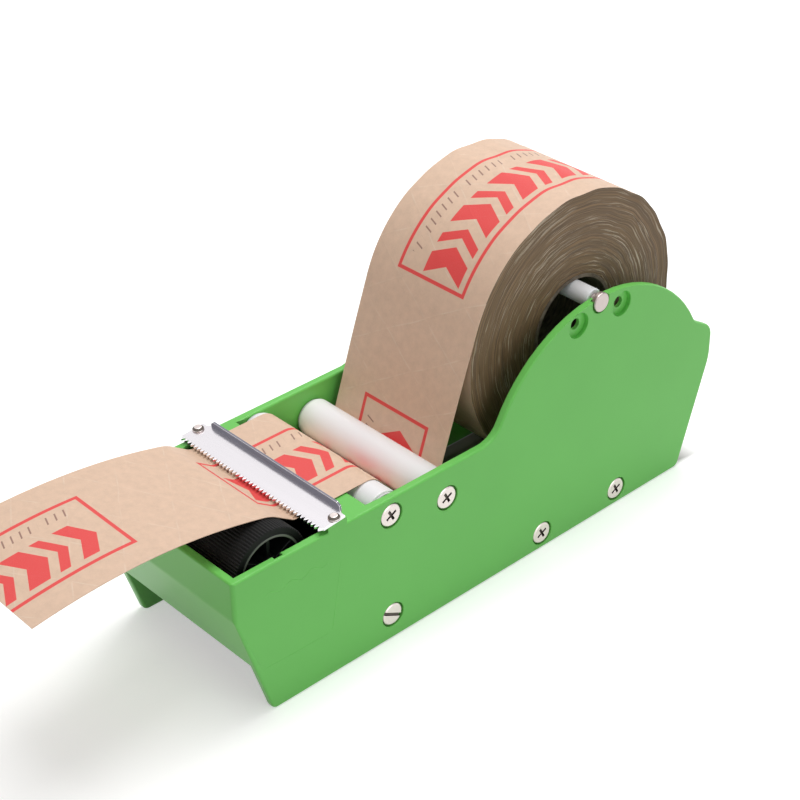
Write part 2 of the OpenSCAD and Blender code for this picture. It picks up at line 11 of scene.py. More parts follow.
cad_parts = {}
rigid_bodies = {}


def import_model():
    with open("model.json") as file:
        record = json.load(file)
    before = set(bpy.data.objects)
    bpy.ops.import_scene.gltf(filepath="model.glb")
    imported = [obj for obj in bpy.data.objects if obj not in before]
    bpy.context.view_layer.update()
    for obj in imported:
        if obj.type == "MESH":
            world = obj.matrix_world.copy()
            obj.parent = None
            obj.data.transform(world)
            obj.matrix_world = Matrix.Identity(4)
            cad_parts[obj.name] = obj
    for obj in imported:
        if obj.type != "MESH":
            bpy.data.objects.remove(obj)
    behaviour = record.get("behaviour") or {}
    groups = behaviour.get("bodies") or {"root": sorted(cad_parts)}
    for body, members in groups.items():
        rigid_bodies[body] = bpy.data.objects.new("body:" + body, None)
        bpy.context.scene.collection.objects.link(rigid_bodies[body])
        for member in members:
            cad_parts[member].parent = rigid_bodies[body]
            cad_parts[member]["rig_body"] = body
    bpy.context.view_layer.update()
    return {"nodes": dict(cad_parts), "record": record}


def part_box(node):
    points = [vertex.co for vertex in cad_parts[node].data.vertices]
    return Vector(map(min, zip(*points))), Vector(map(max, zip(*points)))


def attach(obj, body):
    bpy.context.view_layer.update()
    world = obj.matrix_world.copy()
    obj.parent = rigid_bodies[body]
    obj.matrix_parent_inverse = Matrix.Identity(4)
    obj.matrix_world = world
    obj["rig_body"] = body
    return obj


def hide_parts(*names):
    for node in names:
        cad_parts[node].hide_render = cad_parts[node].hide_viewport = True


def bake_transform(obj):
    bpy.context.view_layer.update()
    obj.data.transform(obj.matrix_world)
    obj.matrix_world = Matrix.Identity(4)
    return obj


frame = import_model()

MM = 0.001
MM_IN_METRE = 1000.0
WELD = 0.004 * MM


# ---------------------------------------------------------------- places taken from the frame

def middle(node):
    """Middle of a node's box, as depth and height."""
    lo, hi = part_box(node)
    return Vector(((lo.y + hi.y) / 2, (lo.z + hi.z) / 2))


def radius(node):
    """Radius of a node that is turned round an axis along X."""
    lo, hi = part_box(node)
    return (hi.z - lo.z) / 2


shell_low, shell_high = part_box("body_shell")
strip_low, strip_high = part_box("tape_strip")
roll_low, roll_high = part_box("tape_roll")
front_y = shell_low.y
outer_x = shell_high.x
tape_left, tape_right = strip_low.x, strip_high.x
tape_width = tape_right - tape_left

ROLL = middle("tape_roll")
ROLL_R = radius("tape_roll")
CORE_R = radius("roll_core")
REAR_ROLLER = middle("rear_roller")
FRONT_ROLLER = middle("front_roller")
ROLLER_R = radius("front_roller")
WHEEL = middle("wheel_tread")
WHEEL_R = radius("wheel_tread")
BLADE_TIP_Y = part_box("cutter_blade")[0].y
SPINDLE = middle("spindle_pin")


# ---------------------------------------------------------------- the tape's path in side view

TAPE_T = 0.3 * MM
TAPE_GAP = 0.3 * MM
REACH = TAPE_GAP + TAPE_T / 2
BEND_R = 4.0 * MM
BEND_AHEAD = 0.5 * MM
LEAVE_SLOPE = math.radians(15)
CREST_REACH = 77 * MM
PATH_STEP = 0.5 * MM


def direction(angle):
    return Vector((math.cos(angle), math.sin(angle)))


def heading(v):
    return math.atan2(v[1], v[0])


def cross_angle(c1, r1, c2, r2, side):
    """Angle of the touching line that crosses between two circles, seen from the first centre."""
    between = c2 - c1
    return heading(between) + side * math.acos((r1 + r2) / between.length)


def arc(centre, r, start, end):
    """Points of an arc, a path step apart."""
    steps = max(2, math.ceil(abs(end - start) * r / PATH_STEP))
    return [centre + r * direction(start + (end - start) * i / steps) for i in range(steps + 1)]


def line(start, end):
    steps = max(1, math.ceil((end - start).length / PATH_STEP))
    return [start + (end - start) * i / steps for i in range(1, steps)]


def free_end(start):
    """The free end, from the wheel over its crest to the cut."""
    reach = start[0] - strip_low.y
    steps = math.ceil(reach / PATH_STEP)
    rise = math.tan(LEAVE_SLOPE)
    points = []
    for i in range(1, steps + 1):
        run = reach * i / steps
        points.append(start + Vector((-run, run * rise - run * run * rise / (2 * CREST_REACH))))
    return points


def tape_route():
    """Points from the free end back to the roll and the length at each, the lengths at which the tape leaves
    the rear roller and the roll, and the angle at which it leaves the roll."""
    roll_r, roller_r, wheel_r = ROLL_R + REACH, ROLLER_R + REACH, WHEEL_R + REACH
    bend = Vector((BLADE_TIP_Y + BEND_AHEAD, FRONT_ROLLER[1] + roller_r + BEND_R))
    off_roll = cross_angle(ROLL, roll_r, REAR_ROLLER, roller_r, -1) + 2 * math.pi
    off_rear = cross_angle(REAR_ROLLER, roller_r, FRONT_ROLLER, roller_r, 1)
    off_bend = cross_angle(bend, BEND_R, WHEEL, wheel_r, 1) + 2 * math.pi
    leave = math.pi / 2 - LEAVE_SLOPE
    rounds = [
        arc(REAR_ROLLER, roller_r, off_roll + math.pi, off_rear),
        arc(FRONT_ROLLER, roller_r, off_rear - math.pi, math.pi / 2),
        arc(bend, BEND_R, 1.5 * math.pi, off_bend),
        arc(WHEEL, wheel_r, off_bend - math.pi, leave),
    ]
    top = ROLL + roll_r * direction(off_roll)
    run = [top] + line(top, rounds[0][0])
    for i, turn in enumerate(rounds):
        run += turn
        if i + 1 < len(rounds):
            run += line(turn[-1], rounds[i + 1][0])
    run += free_end(run[-1])
    run.reverse()
    lengths = [0.0]
    for a, b in zip(run, run[1:]):
        lengths.append(lengths[-1] + (b - a).length)
    roller_length = lengths[-1] - (rounds[0][0] - top).length
    return run, lengths, roller_length, lengths[-1], off_roll


ROUTE, LENGTHS, AT_ROLLER, AT_ROLL, OFF_ROLL = tape_route()


def on_route(length):
    """Point on the tape's middle and its upward normal, at a length from the free end."""
    if length > AT_ROLL:
        outwards = direction(OFF_ROLL - (length - AT_ROLL) / ROLL_R)
        return ROLL + (ROLL_R + REACH) * outwards, outwards
    low, high = 0, len(LENGTHS) - 1
    while high - low > 1:
        mid = (low + high) // 2
        if LENGTHS[mid] <= length:
            low = mid
        else:
            high = mid
    a, b = ROUTE[low], ROUTE[high]
    share = (length - LENGTHS[low]) / (LENGTHS[high] - LENGTHS[low])
    along = (b - a).normalized()
    return a + (b - a) * share, Vector((-along[1], along[0]))


# ---------------------------------------------------------------- camera

CAMERA_PLACE = Vector((561.3, -478.6, 573.1)) * MM
CAMERA_FORWARD = Vector((-0.6100, 0.5642, -0.5563))
CAMERA_ROLL = math.radians(-0.64)
CAMERA_LENS = 84.28
CAMERA_SENSOR = 36
CAMERA_SHIFT = (-0.0231, 0.0424)


def make_camera():
    data = bpy.data.cameras.new("camera")
    data.lens = CAMERA_LENS
    data.sensor_width = CAMERA_SENSOR
    data.shift_x, data.shift_y = CAMERA_SHIFT
    data.clip_start, data.clip_end = 0.01, 20
    camera = bpy.data.objects.new("camera", data)
    bpy.context.scene.collection.objects.link(camera)
    forward = CAMERA_FORWARD.normalized()
    level = forward.cross(Vector((0, 0, 1))).normalized()
    upright = level.cross(forward)
    right = math.cos(CAMERA_ROLL) * level + math.sin(CAMERA_ROLL) * upright
    up = right.cross(forward)
    turn = Matrix((right, up, -forward)).transposed()
    camera.matrix_world = Matrix.Translation(CAMERA_PLACE) @ turn.to_4x4()
    bpy.context.scene.camera = camera


make_camera()


# ---------------------------------------------------------------- shader building

class Nodes:
    """A node tree with short ways to add and join nodes."""

    def __init__(self, tree):
        self.tree = tree

    def add(self, kind, inputs=None, **values):
        node = self.tree.nodes.new(kind)
        for name, value in values.items():
            setattr(node, name, value)
        for name, value in (inputs or {}).items():
            self.put(node.inputs[name], value)
        return node

    def put(self, socket, value):
        if isinstance(value, bpy.types.NodeSocket):
            self.tree.links.new(value, socket)
        elif hasattr(socket.default_value, "__len__") and len(socket.default_value) == 4 and len(value) == 3:
            socket.default_value = (*value, 1.0)
        else:
            socket.default_value = value

    def math(self, operation, a, b=0.0, c=0.0, clamp=False):
        node = self.add("ShaderNodeMath", operation=operation, use_clamp=clamp)
        for socket, value in zip(node.inputs, (a, b, c)):
            self.put(socket, value)
        return node.outputs[0]

    def mix(self, factor, a, b):
        node = self.add("ShaderNodeMix", data_type="RGBA")
        colour_inputs = [s for s in node.inputs if s.type == "RGBA"]
        self.put(node.inputs["Factor"], factor)
        self.put(colour_inputs[0], a)
        self.put(colour_inputs[1], b)
        return [s for s in node.outputs if s.type == "RGBA"][0]

    def noise(self, vector, scale, detail=2.0, roughness=0.5):
        node = self.add("ShaderNodeTexNoise", {"Vector": vector, "Scale": scale, "Detail": detail,
                                               "Roughness": roughness})
        return node.outputs["Fac"]

    def ramp(self, value, low, high, to_low=0.0, to_high=1.0):
        node = self.add("ShaderNodeMapRange", {"Value": value, "From Min": low, "From Max": high,
                                               "To Min": to_low, "To Max": to_high})
        return node.outputs["Result"]

    def stretch(self, vector, scale):
        node = self.add("ShaderNodeMapping", {"Vector": vector, "Scale": scale})
        return node.outputs["Vector"]


def group(name, inputs, outputs):
    """A node group with float, colour or vector sockets, and its node builder, inputs and output node."""
    tree = bpy.data.node_groups.new(name, "ShaderNodeTree")
    kinds = {"value": "NodeSocketFloat", "colour": "NodeSocketColor", "vector": "NodeSocketVector"}
    for socket, (kind, default) in inputs.items():
        made = tree.interface.new_socket(socket, in_out="INPUT", socket_type=kinds[kind])
        if default is not None:
            made.default_value = (*default, 1.0) if kind == "colour" else default
    for socket, kind in outputs.items():
        tree.interface.new_socket(socket, in_out="OUTPUT", socket_type=kinds[kind])
    build = Nodes(tree)
    given = build.add("NodeGroupInput").outputs
    result = build.add("NodeGroupOutput").inputs
    return tree, build, given, result


def moulded_group():
    """Moulded plastic: slight clouding of the colour, uneven gloss and a fine orange peel."""
    tree, n, given, result = group(
        "moulded plastic",
        {"Vector": ("vector", None), "Colour": ("colour", (0.5, 0.5, 0.5)), "Gloss": ("value", 0.3),
         "Clouding": ("value", 0.05), "Peel": ("value", 0.2)},
        {"Colour": "colour", "Roughness": "value", "Height": "value"},
    )
    cloud = n.noise(given["Vector"], 18.0, 3.0)
    fine = n.noise(given["Vector"], 900.0, 2.0)
    smear = n.noise(n.stretch(given["Vector"], (1, 0.35, 1)), 60.0, 4.0, 0.6)
    dark = n.mix(given["Clouding"], given["Colour"], (0, 0, 0))
    n.put(result["Colour"], n.mix(n.ramp(cloud, 0.3, 0.7), dark, given["Colour"]))
    uneven = n.math("MULTIPLY_ADD", n.math("SUBTRACT", smear, 0.5), 0.2, 1.0)
    n.put(result["Roughness"], n.math("MULTIPLY", given["Gloss"], uneven, clamp=True))
    n.put(result["Height"], n.math("MULTIPLY", fine, given["Peel"]))
    return tree


def brushed_group():
    """Drawn or brushed metal: long fine streaks in colour, roughness and height."""
    tree, n, given, result = group(
        "brushed metal",
        {"Vector": ("vector", None), "Colour": ("colour", (0.7, 0.7, 0.7)), "Roughness": ("value", 0.3),
         "Streaks": ("value", 0.3)},
        {"Colour": "colour", "Roughness": "value", "Height": "value"},
    )
    streak = n.noise(given["Vector"], 1.0, 3.0, 0.6)
    smudge = n.noise(given["Vector"], 0.02, 2.0)
    shade = n.mix(n.math("MULTIPLY", given["Streaks"], 0.35), given["Colour"], (0, 0, 0))
    n.put(result["Colour"], n.mix(n.ramp(streak, 0.3, 0.7), shade, given["Colour"]))
    change = n.math("MULTIPLY", n.math("SUBTRACT", streak, 0.5), given["Streaks"])
    patch = n.math("MULTIPLY", n.math("SUBTRACT", smudge, 0.5), 0.1)
    n.put(result["Roughness"], n.math("ADD", n.math("ADD", given["Roughness"], change), patch, clamp=True))
    n.put(result["Height"], n.math("MULTIPLY", streak, given["Streaks"]))
    return tree


YARN_PITCH = 27.0         # between crossing yarns, along the tape
YARN_SLOPE = 0.62


def kraft_group():
    """Kraft paper: mottled pulp, short fibres and the pale crossing yarns of a reinforced tape.
    The vector is the tape's own: across it and along it, in millimetres."""
    tree, n, given, result = group(
        "kraft paper",
        {"Vector": ("vector", None), "Colour": ("colour", (0.5, 0.4, 0.3)), "Fibres": ("value", 0.5),
         "Yarns": ("value", 0.5)},
        {"Colour": "colour", "Height": "value"},
    )
    pulp = n.noise(given["Vector"], 0.22, 4.0, 0.6)
    fleck = n.noise(n.stretch(given["Vector"], (3.0, 0.8, 1)), 0.9, 5.0, 0.7)
    fibre = n.noise(n.stretch(given["Vector"], (6.0, 1.0, 1)), 1.6, 3.0, 0.7)
    xyz = n.add("ShaderNodeSeparateXYZ", {"Vector": given["Vector"]})
    across, along = xyz.outputs["X"], xyz.outputs["Y"]
    wander = n.math("MULTIPLY", n.math("SUBTRACT", n.noise(given["Vector"], 0.03, 1.0), 0.5), 4.0)
    yarns = []
    for slope in (YARN_SLOPE, -YARN_SLOPE):
        place = n.math("ADD", n.math("MULTIPLY_ADD", across, slope, along), wander)
        in_pitch = n.math("FLOORED_MODULO", place, YARN_PITCH)
        off = n.math("ABSOLUTE", n.math("SUBTRACT", in_pitch, YARN_PITCH / 2))
        yarns.append(n.ramp(off, 0.12, 0.55, 1.0, 0.0))
    yarn = n.math("MAXIMUM", yarns[0], yarns[1])
    broken = n.math("MULTIPLY", yarn, n.ramp(n.noise(given["Vector"], 0.12, 2.0), 0.4, 0.62))
    dark = n.mix(n.math("MULTIPLY", given["Fibres"], 0.42), given["Colour"], (0.10, 0.05, 0.02))
    light = n.mix(n.math("MULTIPLY", given["Fibres"], 0.25), given["Colour"], (1, 0.95, 0.85))
    mottled = n.mix(n.ramp(pulp, 0.32, 0.68), dark, given["Colour"])
    flecked = n.mix(n.ramp(fleck, 0.52, 0.72), mottled, light)
    dark_fibre = n.math("MULTIPLY", n.ramp(fibre, 0.64, 0.74), given["Fibres"])
    specks = n.mix(dark_fibre, flecked, (0.16, 0.09, 0.05))
    pale = n.mix(n.math("MULTIPLY", broken, given["Yarns"]), specks, (0.95, 0.86, 0.74))
    n.put(result["Colour"], pale)
    n.put(result["Height"], n.math("ADD", n.math("MULTIPLY", fleck, 0.5), yarn))
    return tree


PRINT_PERIOD = 200.0      # from one printed frame to the next
PRINT_START = 127.5       # from the cut end to the start of a frame
PRINT_LENGTH = 135.0
PRINT_MIDDLE = 40.0       # across the tape
PRINT_HALF = 22.5
PRINT_LINE = 1.9
INK_EDGE = 0.12           # half the width over which an edge of ink fades
ROW_START = 10.0          # from the start of a frame to the rows of chevrons and dashes
ROW_END = 126.0
CHEVRON_MIDDLE = 45.5     # across the tape
CHEVRON_HALF = 12.0
CHEVRON_LEAN = 0.55
CHEVRON_PITCH = 27.0      # each pitch holds a wide bar and a thin one
WIDE_BAR = 10.5
THIN_MIDDLE = 18.0
THIN_HALF = 2.6
DASH_MIDDLE = 25.0        # across the tape
DASH_HALF = 2.4
DASH_LEAN = 0.35
DASH_PITCH = 4.4
DASH_WIDTH = 0.8
DASH_GROUP = 7            # the last dash of each group is left out


def print_group():
    """Plain parcel print, in millimetres across and along the tape: a frame, bold chevrons and a row of
    dashes."""
    tree, n, given, result = group(
        "parcel print", {"Vector": ("vector", None)}, {"Red": "value", "Brown": "value"})
    xyz = n.add("ShaderNodeSeparateXYZ", {"Vector": given["Vector"]})
    across, along = xyz.outputs["X"], xyz.outputs["Y"]

    def minus(a, b):
        return n.math("SUBTRACT", a, b)

    def both(a, b):
        return n.math("MULTIPLY", a, b)

    def repeat(value, pitch):
        return n.math("FLOORED_MODULO", value, pitch)

    def off(value, centre):
        return n.math("ABSOLUTE", minus(value, centre))

    def inside(distance):
        return n.ramp(distance, -INK_EDGE, INK_EDGE, 1.0, 0.0)

    def in_rows(place):
        return both(inside(minus(ROW_START, place)), inside(minus(place, ROW_END)))

    along_frame = repeat(minus(along, PRINT_START), PRINT_PERIOD)
    from_end = minus(off(along_frame, PRINT_LENGTH / 2), PRINT_LENGTH / 2)
    from_side = minus(off(across, PRINT_MIDDLE), PRINT_HALF)
    outside = n.math("MAXIMUM", from_end, from_side)
    frame_line = both(inside(outside), inside(minus(n.math("MULTIPLY", outside, -1), PRINT_LINE)))

    off_middle = off(across, CHEVRON_MIDDLE)
    pointed = n.math("MULTIPLY_ADD", off_middle, CHEVRON_LEAN, along_frame)
    in_pitch = repeat(minus(pointed, ROW_START), CHEVRON_PITCH)
    wide = inside(minus(in_pitch, WIDE_BAR))
    thin = inside(minus(off(in_pitch, THIN_MIDDLE), THIN_HALF))
    chevrons = both(n.math("MAXIMUM", wide, thin),
                    both(inside(minus(off_middle, CHEVRON_HALF)), in_rows(pointed)))
    worn = n.ramp(n.noise(given["Vector"], 2.4, 4.0, 0.7), 0.28, 0.42, 0.72, 1.0)
    n.put(result["Red"], both(n.math("MAXIMUM", frame_line, chevrons), worn))

    slanted = n.math("MULTIPLY_ADD", across, DASH_LEAN, along_frame)
    dash = inside(minus(repeat(slanted, DASH_PITCH), DASH_WIDTH))
    kept = inside(minus(repeat(slanted, DASH_PITCH * DASH_GROUP), DASH_PITCH * (DASH_GROUP - 1)))
    row = inside(minus(off(across, DASH_MIDDLE), DASH_HALF))
    n.put(result["Brown"], both(both(both(dash, kept), both(row, in_rows(along_frame))), worn))
    return tree


MOULDED = moulded_group()
BRUSHED = brushed_group()
KRAFT = kraft_group()
PRINT = print_group()


def material(name):
    """A new material's node builder and its shader."""
    made = bpy.data.materials.new(name)
    made.use_nodes = True
    made.node_tree.nodes.clear()
    n = Nodes(made.node_tree)
    shader = n.add("ShaderNodeBsdfPrincipled")
    output = n.add("ShaderNodeOutputMaterial")
    n.put(output.inputs["Surface"], shader.outputs["BSDF"])
    return made, n, shader.inputs


def bump(n, shader, height, distance):
    node = n.add("ShaderNodeBump", {"Height": height, "Distance": distance})
    n.put(shader["Normal"], node.outputs["Normal"])


def use_group(n, tree, inputs):
    return n.add("ShaderNodeGroup", inputs, node_tree=tree).outputs


def object_place(n):
    return n.add("ShaderNodeTexCoord").outputs["Object"]


def plastic(name, colour, gloss, clouding, peel, specular=0.5):
    made, n, shader = material(name)
    look = use_group(n, MOULDED, {"Vector": object_place(n), "Colour": colour, "Gloss": gloss,
                                  "Clouding": clouding, "Peel": peel})
    n.put(shader["Base Color"], look["Colour"])
    n.put(shader["Roughness"], look["Roughness"])
    n.put(shader["Specular IOR Level"], specular)
    bump(n, shader, look["Height"], 0.02 * MM)
    return made


def metal(name, colour, roughness, streaks, grain):
    """Grain is how many streaks a metre holds along X, Y and Z."""
    made, n, shader = material(name)
    look = use_group(n, BRUSHED, {"Vector": n.stretch(object_place(n), grain), "Colour": colour,
                                  "Roughness": roughness, "Streaks": streaks})
    n.put(shader["Base Color"], look["Colour"])
    n.put(shader["Roughness"], look["Roughness"])
    n.put(shader["Metallic"], 1.0)
    bump(n, shader, look["Height"], 0.01 * MM)
    return made


def linear(red, green, blue):
    """A colour as a picture shows it, from 0 to 255, as the light that a shader takes."""
    def one(v):
        v /= 255
        return v / 12.92 if v <= 0.04045 else ((v + 0.055) / 1.055) ** 2.4
    return one(red), one(green), one(blue)


def printed_tape():
    made, n, shader = material("printed kraft tape")
    place = n.add("ShaderNodeUVMap", uv_map="tape").outputs["UV"]
    in_mm = n.stretch(place, (MM_IN_METRE, MM_IN_METRE, MM_IN_METRE))
    paper = use_group(n, KRAFT, {"Vector": in_mm, "Colour": linear(230, 197, 171), "Fibres": 0.28,
                                 "Yarns": 0.2})
    ink = use_group(n, PRINT, {"Vector": in_mm})
    red = n.mix(n.math("MULTIPLY", ink["Red"], 0.93), paper["Colour"], linear(232, 48, 54))
    n.put(shader["Base Color"], n.mix(n.math("MULTIPLY", ink["Brown"], 0.75), red, linear(120, 70, 66)))
    fine = n.noise(in_mm, 1.2, 2.0)
    n.put(shader["Roughness"], n.ramp(fine, 0.3, 0.7, 0.42, 0.56))
    bump(n, shader, paper["Height"], 0.03 * MM)
    return made


def wound_side():
    """The cut edges of the wound layers. The layers map holds the angle and the radius in metres."""
    made, n, shader = material("wound tape edges")
    place = n.add("ShaderNodeUVMap", uv_map="layers").outputs["UV"]
    xyz = n.add("ShaderNodeSeparateXYZ", {"Vector": place})
    turn = xyz.outputs["X"]
    layer = n.math("MULTIPLY", xyz.outputs["Y"], MM_IN_METRE)
    east, north = n.math("COSINE", turn), n.math("SINE", turn)

    def rings(per_mm, around, shift):
        spot = n.add("ShaderNodeCombineXYZ", {
            "X": n.math("MULTIPLY", east, around), "Y": n.math("MULTIPLY", north, around),
            "Z": n.math("MULTIPLY_ADD", layer, per_mm, shift)})
        return spot.outputs["Vector"]

    sway = n.math("SUBTRACT", n.noise(rings(0.09, 3.2, 63.0), 1.0, 2.0), 0.5)
    layer = n.math("MULTIPLY_ADD", sway, 3.0, layer)
    fine = n.noise(rings(2.6, 1.2, 0.0), 1.0, 3.0, 0.65)
    broad = n.noise(rings(0.28, 0.5, 7.0), 1.0, 3.0, 0.6)
    streak = n.noise(rings(1.5, 2.0, 19.0), 1.0, 4.0, 0.62)
    patch = n.noise(rings(0.16, 2.2, 41.0), 1.0, 2.0)
    base = n.mix(n.ramp(fine, 0.34, 0.66), linear(68, 51, 34), linear(148, 120, 87))
    warm = n.mix(n.ramp(broad, 0.4, 0.7, 0.0, 0.7), base, linear(112, 89, 61))
    pale = n.math("MULTIPLY", n.ramp(streak, 0.56, 0.62), n.ramp(patch, 0.38, 0.58))
    n.put(shader["Base Color"], n.mix(n.math("MULTIPLY", pale, 0.6), warm, linear(222, 208, 186)))
    n.put(shader["Roughness"], n.ramp(fine, 0.3, 0.7, 0.5, 0.75))
    bump(n, shader, fine, 0.12 * MM)
    return made


def core_board():
    made, n, shader = material("core board")
    place = object_place(n)
    wrap = n.noise(n.stretch(place, (900, 220, 220)), 1.0, 3.0)
    soft = n.noise(place, 70.0, 4.0)
    base = n.mix(n.ramp(wrap, 0.35, 0.65), linear(96, 86, 74), linear(138, 126, 110))
    n.put(shader["Base Color"], n.mix(n.ramp(soft, 0.4, 0.7, 0.0, 0.4), base, linear(80, 62, 48)))
    n.put(shader["Roughness"], n.ramp(soft, 0.3, 0.7, 0.7, 0.9))
    bump(n, shader, wrap, 0.05 * MM)
    return made


def tread_rubber():
    made, n, shader = material("tread rubber")
    place = object_place(n)
    dust = n.noise(place, 55.0, 4.0, 0.65)
    fine = n.noise(place, 1500.0, 2.0)
    dusty = n.ramp(dust, 0.5, 0.75, 0.0, 0.5)
    n.put(shader["Base Color"], n.mix(dusty, (0.004, 0.004, 0.004), (0.016, 0.016, 0.017)))
    n.put(shader["Roughness"], n.ramp(dust, 0.3, 0.7, 0.5, 0.7))
    n.put(shader["Specular IOR Level"], 0.2)
    bump(n, shader, fine, 0.02 * MM)
    return made


ALONG_X = (12, 900, 900)
AROUND_X = (1400, 30, 30)
EVEN_GRAIN = (500, 500, 500)
GREEN = plastic("green gloss plastic", linear(116, 206, 97), 0.32, 0.05, 0.2, 0.3)
BLACK = plastic("black tank plastic", linear(26, 26, 28), 0.4, 0.2, 0.5)
HUB = plastic("black hub plastic", linear(20, 21, 21), 0.4, 0.2, 0.5, 0.3)
# The grey on the hub's end rings is a painted highlight.
HUB_RIM_PAINTED_HIGHLIGHT = plastic("grey hub rim painted highlight", linear(118, 120, 112), 0.5, 0.2, 0.5)
WHITE = plastic("white roller plastic", linear(247, 245, 246), 0.32, 0.03, 0.2)
BUSH = plastic("pale bush plastic", linear(214, 214, 214), 0.45, 0.06, 0.3)
SLEEVE = plastic("white sleeve plastic", linear(250, 252, 255), 0.3, 0.02, 0.2)
RUBBER = tread_rubber()
BLADE = metal("blade steel", linear(236, 232, 236), 0.22, 0.06, ALONG_X)
STEEL = metal("drawn steel", linear(196, 198, 202), 0.28, 0.22, AROUND_X)
# The blade fold's darker steel is painted shade.
FOLD_PAINTED_SHADE_STEEL = metal("blade fold steel painted shade", linear(120, 120, 130), 0.42, 0.16, ALONG_X)
NICKEL = metal("nickel plated steel", linear(222, 210, 207), 0.30, 0.12, EVEN_GRAIN)
HEAD_STEEL = metal("pressed head steel", linear(196, 184, 180), 0.34, 0.2, EVEN_GRAIN)
# Darker steel as painted shade: in screw crosses, slots and head sides, and on the blade screws' sloping
# edges.
RECESS_PAINTED_SHADE_STEEL = metal("steel painted shade", linear(104, 97, 92), 0.5, 0.2, EVEN_GRAIN)
PAPER = printed_tape()
WOUND = wound_side()
BOARD = core_board()


# ---------------------------------------------------------------- mesh helpers

SMOOTH_ANGLE = math.radians(32)
FLAT_ANGLE = math.radians(0.6)
CORNER_ANGLE = math.radians(15.5)


def new_piece(name, bm, finish, body, slot, *replaced):
    """Turns a bmesh into a piece that rides on a body and takes a finish."""
    mesh = bpy.data.meshes.new(name)
    bm.to_mesh(mesh)
    bm.free()
    piece = bpy.data.objects.new(name, mesh)
    bpy.context.scene.collection.objects.link(piece)
    for one in finish if isinstance(finish, (list, tuple)) else [finish]:
        mesh.materials.append(one)
    if body:
        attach(piece, body)
    if replaced:
        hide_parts(*replaced)
    return piece


def settle(piece, angle=SMOOTH_ANGLE):
    """Applies a piece's modifiers and shades it smooth, apart from its sharp edges."""
    if piece.modifiers:
        evaluated = piece.evaluated_get(bpy.context.evaluated_depsgraph_get())
        mesh = bpy.data.meshes.new_from_object(evaluated)
        mesh.name = piece.name
        piece.modifiers.clear()
        piece.data = mesh
    piece.data.shade_smooth()
    piece.data.set_sharp_from_angle(angle=angle)
    even = piece.modifiers.new("even_shading", "WEIGHTED_NORMAL")
    even.mode = "FACE_AREA"
    even.weight = 100
    even.keep_sharp = True
    return piece


def merged(node, cuts=()):
    """A CAD node's mesh as one closed bmesh with flat faces joined up, but split at the depths in cuts.
    Faces without any width go first. Cuts through every hole leave no face that goes right round one."""
    bm = bmesh.new()
    bm.from_mesh(frame["nodes"][node].data)
    bmesh.ops.remove_doubles(bm, verts=bm.verts, dist=WELD)
    bmesh.ops.dissolve_degenerate(bm, edges=bm.edges, dist=WELD)
    if not cuts:
        bmesh.ops.dissolve_limit(bm, angle_limit=FLAT_ANGLE, verts=bm.verts, edges=bm.edges)
        return bm
    for depth in cuts:
        bmesh.ops.bisect_plane(bm, geom=bm.verts[:] + bm.edges[:] + bm.faces[:], dist=WELD / 2,
                               plane_co=(0, depth, 0), plane_no=(0, 1, 0))

    def on_cut(edge):
        return any(all(abs(v.co.y - depth) < WELD for v in edge.verts) for depth in cuts)

    flat = [e for e in bm.edges if e.calc_face_angle(0) < FLAT_ANGLE and not on_cut(e)]
    bmesh.ops.dissolve_edges(bm, edges=flat, use_verts=True)
    return bm


def is_corner(edge):
    """An edge between two faces that meet at a convex corner."""
    return len(edge.link_faces) == 2 and edge.is_convex and edge.calc_face_angle(0) > CORNER_ANGLE


def weigh_edges(bm, width_of):
    """Sets each corner's bevel weight from its width, marks hollow corners sharp, and returns the widest."""
    weight = bm.edges.layers.float.new("bevel_weight_edge")
    widths = {edge: width_of(edge) for edge in bm.edges if is_corner(edge)}
    widest = max(widths.values())
    for edge in bm.edges:
        edge[weight] = widths.get(edge, 0) / widest
        edge.smooth = edge in widths or edge.calc_face_angle(0) < CORNER_ANGLE
    for face in bm.faces:
        face.smooth = True
    return widest


def dressed(node, width, finish, segments=2, width_of=None, finish_of=None, cuts=()):
    """A copy of a CAD node with its corners rounded off, in place of the node."""
    bm = merged(node, cuts)
    widest = weigh_edges(bm, width_of or (lambda edge: width))
    if finish_of:
        for face in bm.faces:
            face.material_index = finish_of(face)
    body = frame["nodes"][node]["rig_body"]
    slot = next(s["material_slot"] for s in frame["record"]["subparts"] if s["node"] == node)
    piece = new_piece(node + "_finished", bm, finish, body, slot, node)
    rounding = piece.modifiers.new("rounding", "BEVEL")
    rounding.limit_method = "WEIGHT"
    rounding.width = widest
    rounding.segments = segments
    rounding.profile = 0.5
    rounding.material = 0 if finish_of else -1
    rounding.use_clamp_overlap = False
    rounding.loop_slide = False
    rounding.face_strength_mode = "FSTR_ALL"
    even = piece.modifiers.new("even_shading", "WEIGHTED_NORMAL")
    even.mode = "FACE_AREA"
    even.use_face_influence = True
    even.keep_sharp = True


# ---------------------------------------------------------------- body

RIM = 1.25 * MM
NARROW_RIM = 0.14 * MM
NARROW_REACH = 22 * MM
RIM_GROWTH = 0.03
FRONT_CORNER = 2.0 * MM
SMALL_EDGE = 0.35 * MM
RECESS_REACH = 7.2 * MM
SEAT_REACH = 5.8 * MM
SPARE_PITCH = 30.4 * MM
SPARE_DROP = 6.8 * MM
FRONT_DEPTH = 17 * MM
BRIDGE_LEAD = 10 * MM
ROLLER_RISE = 0.3 * MM
NOTCH_HALF = 3.0 * MM
SLOT_HALF = 2.4 * MM
SHORT_SIDE = 5 * MM
TOUCH = 0.05 * MM
TOE_DROP = 15 * MM
CUT_SPACING = 1.5 * MM

